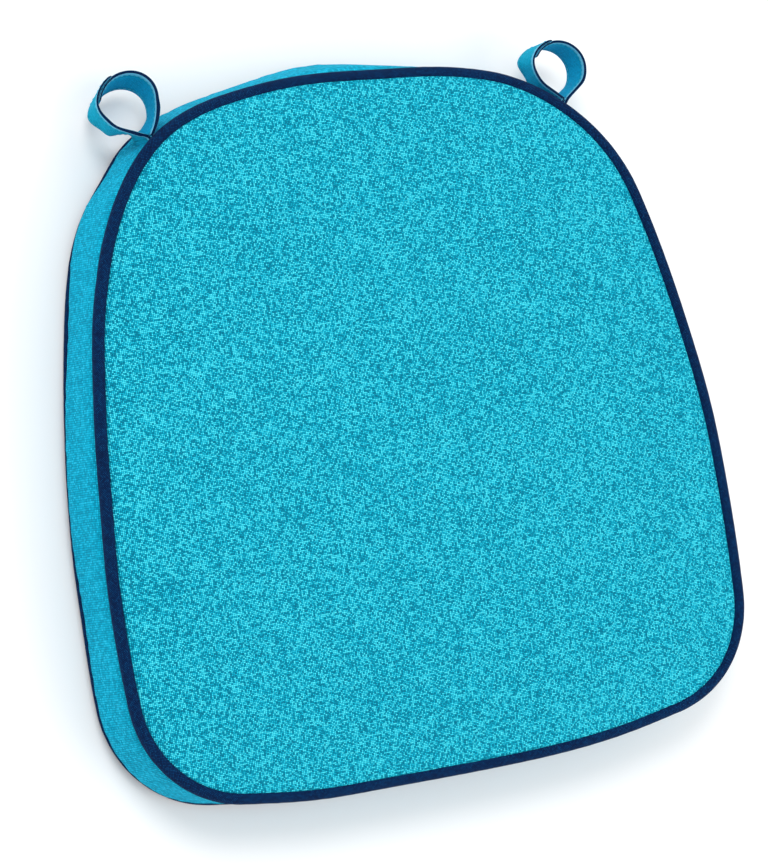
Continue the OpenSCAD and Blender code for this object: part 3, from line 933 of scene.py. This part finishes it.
for node in ("zip_slider", "zip_pull"):
    finish_node(node, METAL, 0.15 * MM)
for node in ("zip_stop_left", "zip_stop_right"):
    finish_node(node, METAL, 0.1 * MM)
for node in ("zip_tape_front", "zip_tape_rear"):
    finish_node(node, TAPE_CLOTH)


# ---------------------------------------------------------------- post loops
POST_R = 15.6 * MM
TAB_T = 2.0 * MM
TAB_W = 20 * MM
PIVOT_HALF = TAB_T / 2 + 0.2 * MM
LAP_FROM = math.radians(95)
LAP_TO = math.radians(150)
INNER_LAP_T = 1.1 * MM
OUTER_LAP_T = 1.4 * MM
PATCH_T = 0.3 * MM
TAB_STEPS = 120
NECK_STEPS = 12
# Turns over which the outer tab steps down from the lap, and both tabs thin at its tip
STEP_DOWN = math.radians(50)
STEP_DOWN_TO = LAP_TO + math.radians(52)
THINNING = math.radians(8)
# How much the outer tab's tip thins, and how far it stands off the inner tab there
TIP_THIN = 0.9 * MM
TIP_LIFT = 0.35 * MM
HOOK_R = POST_R + INNER_LAP_T + PATCH_T
OUTER_LAP_R = HOOK_R + PATCH_T
# How far each loop droops, and its width and depth against the round loop that a post gives it
DROOP = {"left": math.radians(20), "right": math.radians(3)}
WIDE = {"left": 1.10, "right": 1.02}
DEEP = {"left": 0.943, "right": 0.89}
# How far each loop is pulled askew towards the pad's middle, per length
SKEW = {"left": 0.08, "right": 0.0}
# How far the lower edge of each outer tab tucks in under the upper one, per length of width
LEAN = 0.25
# How far each outer tab sags back towards the pad beside the neck, and how its lower edge tucks in
SAG = {"left": 2.3 * MM, "right": 0.0}
TUCK = {"left": 0.18, "right": 0.0}
# How far along a tab from the seam bend_of puts the point where the cloth has turned fully
BEND_TO = 38 * MM
# How much rounder the inner tab is beside the seam
BULGE = {"left": 0.06, "right": 0.08}


def eased(t):
    """0 below 0, 1 above 1, and a smooth step between."""
    t = min(max(t, 0), 1)
    return t * t * (3 - 2 * t)


def loop_frame(side):
    """The loop's own frame, origin between the pivots and +Y towards the post, and its reach."""
    mount = next(m for m in frame["record"]["mounts"] if m["name"] == side + "_post_loop")
    joints = {joint["name"]: joint for joint in frame["joints"]}
    outer = Vector(joints[side + "_outer_open"]["pos_m"])
    inner = Vector(joints[side + "_inner_open"]["pos_m"])
    root = (outer + inner) / 2
    ahead = Vector(mount["pos_m"]) - root
    turn = math.atan2(-ahead.x, ahead.y)
    return Matrix.Translation(root) @ Matrix.Rotation(turn, 4, "Z"), ahead.length


def bend_of(matrix):
    """Where a tab's cloth starts to turn away from the seam, and where it has turned fully."""
    return matrix @ Vector((0, 0, 0)), matrix @ Vector((0, BEND_TO, 0))


def hung(side, matrix, points):
    """Moves points from the loop's own frame to the pad's, pressed and drooping from the seam."""
    moved = []
    for x, y, z in points:
        bend = DROOP[side] * eased((y - 2 * MM) / (12 * MM))
        far = (y - 2 * MM) * DEEP[side] if y > 2 * MM else y - 2 * MM
        wide = 1 + (WIDE[side] - 1) * eased(y / (10 * MM))
        wide += BULGE[side] * math.exp(-((y - 7 * MM) / (7 * MM)) ** 2) * eased(x / (4 * MM))
        lean = LEAN * eased(-x / (7 * MM)) * eased((32 * MM - y) / (14 * MM))
        skew = SKEW[side] * eased((y - 4 * MM) / (12 * MM))
        near = math.exp(-((x + 11 * MM) / (7 * MM)) ** 2) * eased((20 * MM - y) / (8 * MM))
        near *= eased(y / (4 * MM))
        far += skew * x + near * (TUCK[side] * (TAB_W / 2 - z) - SAG[side])
        side_shift = skew * (y - 21 * MM) + lean * (TAB_W / 2 - z)
        moved.append(tuple(matrix @ Vector((
            x * wide + side_shift, 2 * MM + far * math.cos(bend) + z * math.sin(bend),
            z * math.cos(bend) - far * math.sin(bend)))))
    return moved


def hang(side, matrix, piece):
    """Moves a piece of a loop from the loop's own frame to the pad's."""
    vertices = piece.data.vertices
    for vertex, co in zip(vertices, hung(side, matrix, [v.co for v in vertices])):
        vertex.co = co


def tab_route(outer, reach):
    """Points along a tab's middle from its pivot to its free end, with the thickness at each."""
    middle = POST_R + TAB_T / 2
    pivot_reach = math.hypot(PIVOT_HALF, reach)
    neck_turn = math.atan2(PIVOT_HALF, reach) - math.asin(middle / pivot_reach)
    pivot = (-PIVOT_HALF if outer else PIVOT_HALF, 0.0)
    first = math.pi - neck_turn if outer else neck_turn
    last = LAP_FROM if outer else LAP_TO
    points, sizes = [], []
    for k in range(TAB_STEPS + 1):
        angle = first + (last - first) * k / TAB_STEPS
        if outer:
            part = eased((STEP_DOWN_TO - angle) / STEP_DOWN)
            tip = eased((LAP_FROM + math.radians(9) - angle) / THINNING)
            thick = TAB_T + (OUTER_LAP_T - TAB_T) * part - TIP_THIN * tip
            radius = POST_R + (OUTER_LAP_R - POST_R) * part + thick / 2 + TIP_LIFT * tip
        else:
            thin = eased((angle - LAP_FROM - math.radians(0.5)) / THINNING)
            thick = TAB_T + (INNER_LAP_T - TAB_T) * thin
            radius = POST_R + thick / 2
        points.append((radius * math.cos(angle), reach + radius * math.sin(angle), 0.0))
        sizes.append(thick)
    start = points[0]
    neck = [tuple(a + (b - a) * k / NECK_STEPS for a, b in zip((*pivot, 0.0), start))
            for k in range(NECK_STEPS)]
    return np.array(neck + points), np.array([TAB_T] * NECK_STEPS + sizes)


def tab_profile():
    """Section of a folded tab, 1 thick: flat faces, a stitch line and a groove along each edge."""
    t, w = 0.5, TAB_W / 2 / MM
    edge = [(t, w - 3.2), (t - 0.01, w - 2.6), (t - 0.07, w - 2.1), (t - 0.01, w - 1.6),
            (t, w - 1.1), (t, w - 0.5), (t - 0.03, w - 0.14), (t - 0.07, w), (0.41, w - 0.05),
            (0.36, w - 0.3), (0.0, w - 0.4)]
    half = edge + [(-x, y) for x, y in edge[-2::-1]]
    whole = half + [(-t, 0.0)] + [(-x, -y) for x, y in half] + [(t, 0.0)]
    return [(x, y * MM) for x, y in whole[::-1]]


def ribbon(name, route, sizes, rounded_end):
    """A tab swept along its route, with round corners at its free end."""
    along = np.gradient(route, axis=0)
    along /= np.linalg.norm(along, axis=1)[:, None]
    out = np.cross(along, (0, 0, 1)) * sizes[:, None]
    steps = np.linalg.norm(np.diff(route, axis=0), axis=1)
    left = np.concatenate([np.cumsum(steps[::-1])[::-1], [0]])
    corner = 1.5 * MM
    share = np.clip(1 - left / corner, 0, 1) if rounded_end else np.zeros(len(route))
    height = 1 - (1 - np.sqrt(1 - 0.98 * share ** 2)) * corner / (TAB_W / 2)
    ups = np.zeros((len(route), 3))
    ups[:, 2] = height
    return sweep(name, route, out, ups, tab_profile(), False)


def paint_tab_light_and_shade(piece, inner):
    """Painted shade (dark navy) in the edge grooves, painted highlight on the upper folds beside them and painted
    shade on the side that faces the post.
    """
    profile = tab_profile()
    size = len(profile)
    piece.data.materials.append(GROOVE_SHADE)
    piece.data.materials.append(FOLD_HIGHLIGHT)
    piece.data.materials.append(INNER_SHADE)
    for polygon in piece.data.polygons:
        if len(polygon.vertices) != 4:
            continue
        corners = {i % size for i in polygon.vertices}
        up = sum(abs(profile[i][1]) for i in corners) / len(corners)
        above = profile[min(corners)][1] > 0
        out = sum(abs(profile[i][0]) for i in corners) / len(corners)
        # Painted shade in the edge grooves, on upper and lower edges alike.
        if up > TAB_W / 2 - 0.5 * MM and out < 0.415:
            polygon.material_index = 1
        # Painted highlight on the upper folds only, the side that the light falls on.
        elif above and up > TAB_W / 2 - 2.3 * MM:
            polygon.material_index = 2
        # Painted shade on the side of the tab that faces the post.
        elif sum(profile[i][0] for i in corners) * inner > 0:
            polygon.material_index = 3


def make_tab(side, outer):
    """One tab of a loop, with stitches beside its edges."""
    kind = "outer" if outer else "inner"
    node = f"{side}_{kind}_tab"
    matrix, reach = loop_frame(side)
    route, sizes = tab_route(outer, reach)
    piece = ribbon("loop_" + node, route, sizes, True)
    hang(side, matrix, piece)
    place(piece, node, "tab_cloth", TAB_CLOTH, node, bend=bend_of(matrix))
    paint_tab_light_and_shade(piece, 1 if outer else -1)
    seats = []
    steps = np.linalg.norm(np.diff(route, axis=0), axis=1)
    run = np.concatenate([[0], np.cumsum(steps)])
    for at in np.arange(3 * MM, run[-1] - 3.5 * MM, 3.1 * MM):
        middle = np.array([np.interp(at, run, route[:, k]) for k in range(3)])
        ahead = np.array([np.interp(at + MM, run, route[:, k]) for k in range(3)]) - middle
        ahead /= np.linalg.norm(ahead)
        thick = np.interp(at, run, sizes)
        face = np.cross(ahead, (0, 0, 1))
        for height in (-1, 1):
            for way in (-1, 1):
                spot = middle + way * face * thick * 0.44
                spot[2] = height * (TAB_W / 2 - 2.1 * MM)
                tips = hung(side, matrix, [spot, spot + ahead * MM, spot + way * face * MM])
                spot, tip, off = (np.array(tip) for tip in tips)
                seats.append((spot, tip - spot, off - spot))
    make_stitches(f"loop_{side}_{kind}_stitches", seats, node, "tab_cloth", bend=bend_of(matrix))


def make_patch(side, hook):
    """A touch-and-close patch, bent to the loop and bristling on its working face."""
    kind = "hook" if hook else "loop"
    node = f"{side}_{kind}_patch"
    matrix, reach = loop_frame(side)
    middle = HOOK_R + PATCH_T / 2 if hook else HOOK_R - PATCH_T / 2
    angles = np.linspace(LAP_FROM + 0.16, LAP_TO - 0.12, 40)
    route = np.array([(middle * math.cos(a), reach + middle * math.sin(a), 0.0) for a in angles])
    along = np.gradient(route, axis=0)
    along /= np.linalg.norm(along, axis=1)[:, None]
    out = np.cross(along, (0, 0, 1))
    ups = np.tile((0.0, 0.0, 1.0), (len(route), 1))
    t, w = PATCH_T / 2 - 0.02 * MM, 7.6 * MM
    face = -t if hook else t
    profile = []
    for k in range(29):
        nap = 0.1 * MM * (k % 2) if 0 < k < 28 else 0
        profile.append((face + nap if hook else face - nap, -w + 2 * w * k / 28))
    profile += [(-face, w), (-face, -w)]
    if not hook:
        profile = profile[::-1]
    piece = sweep("loop_" + node, route, out, ups, profile, False)
    hang(side, matrix, piece)
    body = f"{side}_{'outer' if hook else 'inner'}_tab"
    place(piece, body, "fastener", HOOK if hook else LOOP, node, bend=bend_of(matrix))


def make_root(side):
    """The end of both tabs that is sewn into the upright seam."""
    turn = LEFT_PLACE if side == "left" else RIGHT_PLACE
    point, heading = outline_at(length_at(turn))
    out = outward(heading)
    matrix = loop_frame(side)[0]
    ends = []
    for kind, way in (("outer", -1), ("inner", 1)):
        hinge = matrix @ Vector((way * PIVOT_HALF, 0, 0))
        start = np.array([*(point - 8 * MM * out), hinge.z])
        start[:2] += way * 1.1 * MM * np.array([out[1], -out[0]])
        route = np.array([start + (np.array(hinge) - start) * k / 10 for k in range(11)])
        route[:, 2] = 0
        piece = ribbon(f"loop_{side}_{kind}_root", route, np.full(11, TAB_T), False)
        for vertex in piece.data.vertices:
            vertex.co.z += hinge.z
        ends.append(piece)
    piece = join(f"loop_{side}_root", ends)
    place(piece, "pad", "tab_cloth", TAB_CLOTH, side + "_tab_root")
    paint_tab_light_and_shade(piece, 0)


for side in ("left", "right"):
    make_root(side)
    for outer in (True, False):
        make_tab(side, outer)
    make_patch(side, True)
    make_patch(side, False)


# ---------------------------------------------------------------- floor, lights and camera
def make_floor():
    """A plain pale floor."""
    piece = add_mesh("floor", [(-6, -6, 0), (6, -6, 0), (6, 6, 0), (-6, 6, 0)], [[0, 1, 2, 3]])
    n = Nodes("floor")
    tint = n.noise(n.object_place(), 2.0, 2)
    n.set(Base_Color=n.mix_colour(tint, (0.93, 0.93, 0.93, 1), (0.96, 0.96, 0.96, 1)),
          Roughness=0.9, Specular_IOR_Level=0.1)
    piece.data.materials.append(n.material)


def add_light(name, where, size, power, aim=(0, 0, 0.02)):
    """A round soft light, aimed at the pad."""
    light = bpy.data.lights.new(name, "AREA")
    light.shape = "DISK"
    light.size = size
    light.energy = power
    lamp = bpy.data.objects.new(name, light)
    bpy.context.scene.collection.objects.link(lamp)
    lamp.location = where
    lamp.rotation_euler = (Vector(aim) - Vector(where)).to_track_quat("-Z", "Y").to_euler()


CAMERA_AT = (-1.1775, -0.0213, 2.1394)
CAMERA_AHEAD = (0.4843, 0.0067, -0.8749)
CAMERA_UP = (0.1388, 0.9867, 0.0844)
CAMERA_LENS = 176


def add_camera():
    """A long lens, high over the pad's left side."""
    camera = bpy.data.cameras.new("camera")
    camera.sensor_width = 36
    camera.lens = CAMERA_LENS
    camera.clip_end = 50
    holder = bpy.data.objects.new("camera", camera)
    bpy.context.scene.collection.objects.link(holder)
    ahead = Vector(CAMERA_AHEAD).normalized()
    up = Vector(CAMERA_UP).normalized()
    right = ahead.cross(up).normalized()
    up = right.cross(ahead).normalized()
    turn = Matrix((right, up, -ahead)).transposed().to_4x4()
    holder.matrix_world = Matrix.Translation(CAMERA_AT) @ turn
    bpy.context.scene.camera = holder


make_floor()
world = bpy.data.worlds.new("studio")
bpy.context.scene.world = world
world.use_nodes = True
world.node_tree.nodes["Background"].inputs[0].default_value = (1, 1, 1, 1)
world.node_tree.nodes["Background"].inputs[1].default_value = 0.86
add_light("key", (-0.9, 1.5, 2.6), 1.4, 40)
add_light("fill", (1.8, -1.2, 2.2), 2.2, 20)
add_camera()
bpy.context.scene.view_settings.view_transform = "Standard"
